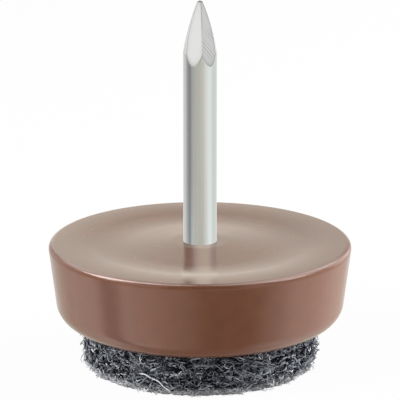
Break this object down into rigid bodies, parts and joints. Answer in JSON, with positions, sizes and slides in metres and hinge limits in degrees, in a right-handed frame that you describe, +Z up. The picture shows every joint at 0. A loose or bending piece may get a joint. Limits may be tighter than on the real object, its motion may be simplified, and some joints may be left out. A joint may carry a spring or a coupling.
{
  "type": "nail-on furniture glide",
  "caption": "Round furniture glide with a nail: a tapered moulded base, a pointed steel nail standing up from its dished top, and a thick felt pad below that slides on the floor.",
  "frame": {"origin": "centre of the felt's underside, where the glide stands on the floor", "axes": "+Z up along the nail, from the felt to the point; the part is turned about Z, so X and Y are any two directions across it"},
  "size_m": [0.024, 0.024, 0.0291],
  "materials": {
    "brown_plastic": "gloss",
    "bright_steel": "satin",
    "grey_felt": "matte"
  },
  "bodies": {
    "root": {"plastic_base": "brown_plastic", "steel_nail": "bright_steel", "felt_pad": "grey_felt"}
  },
  "joints": []
}
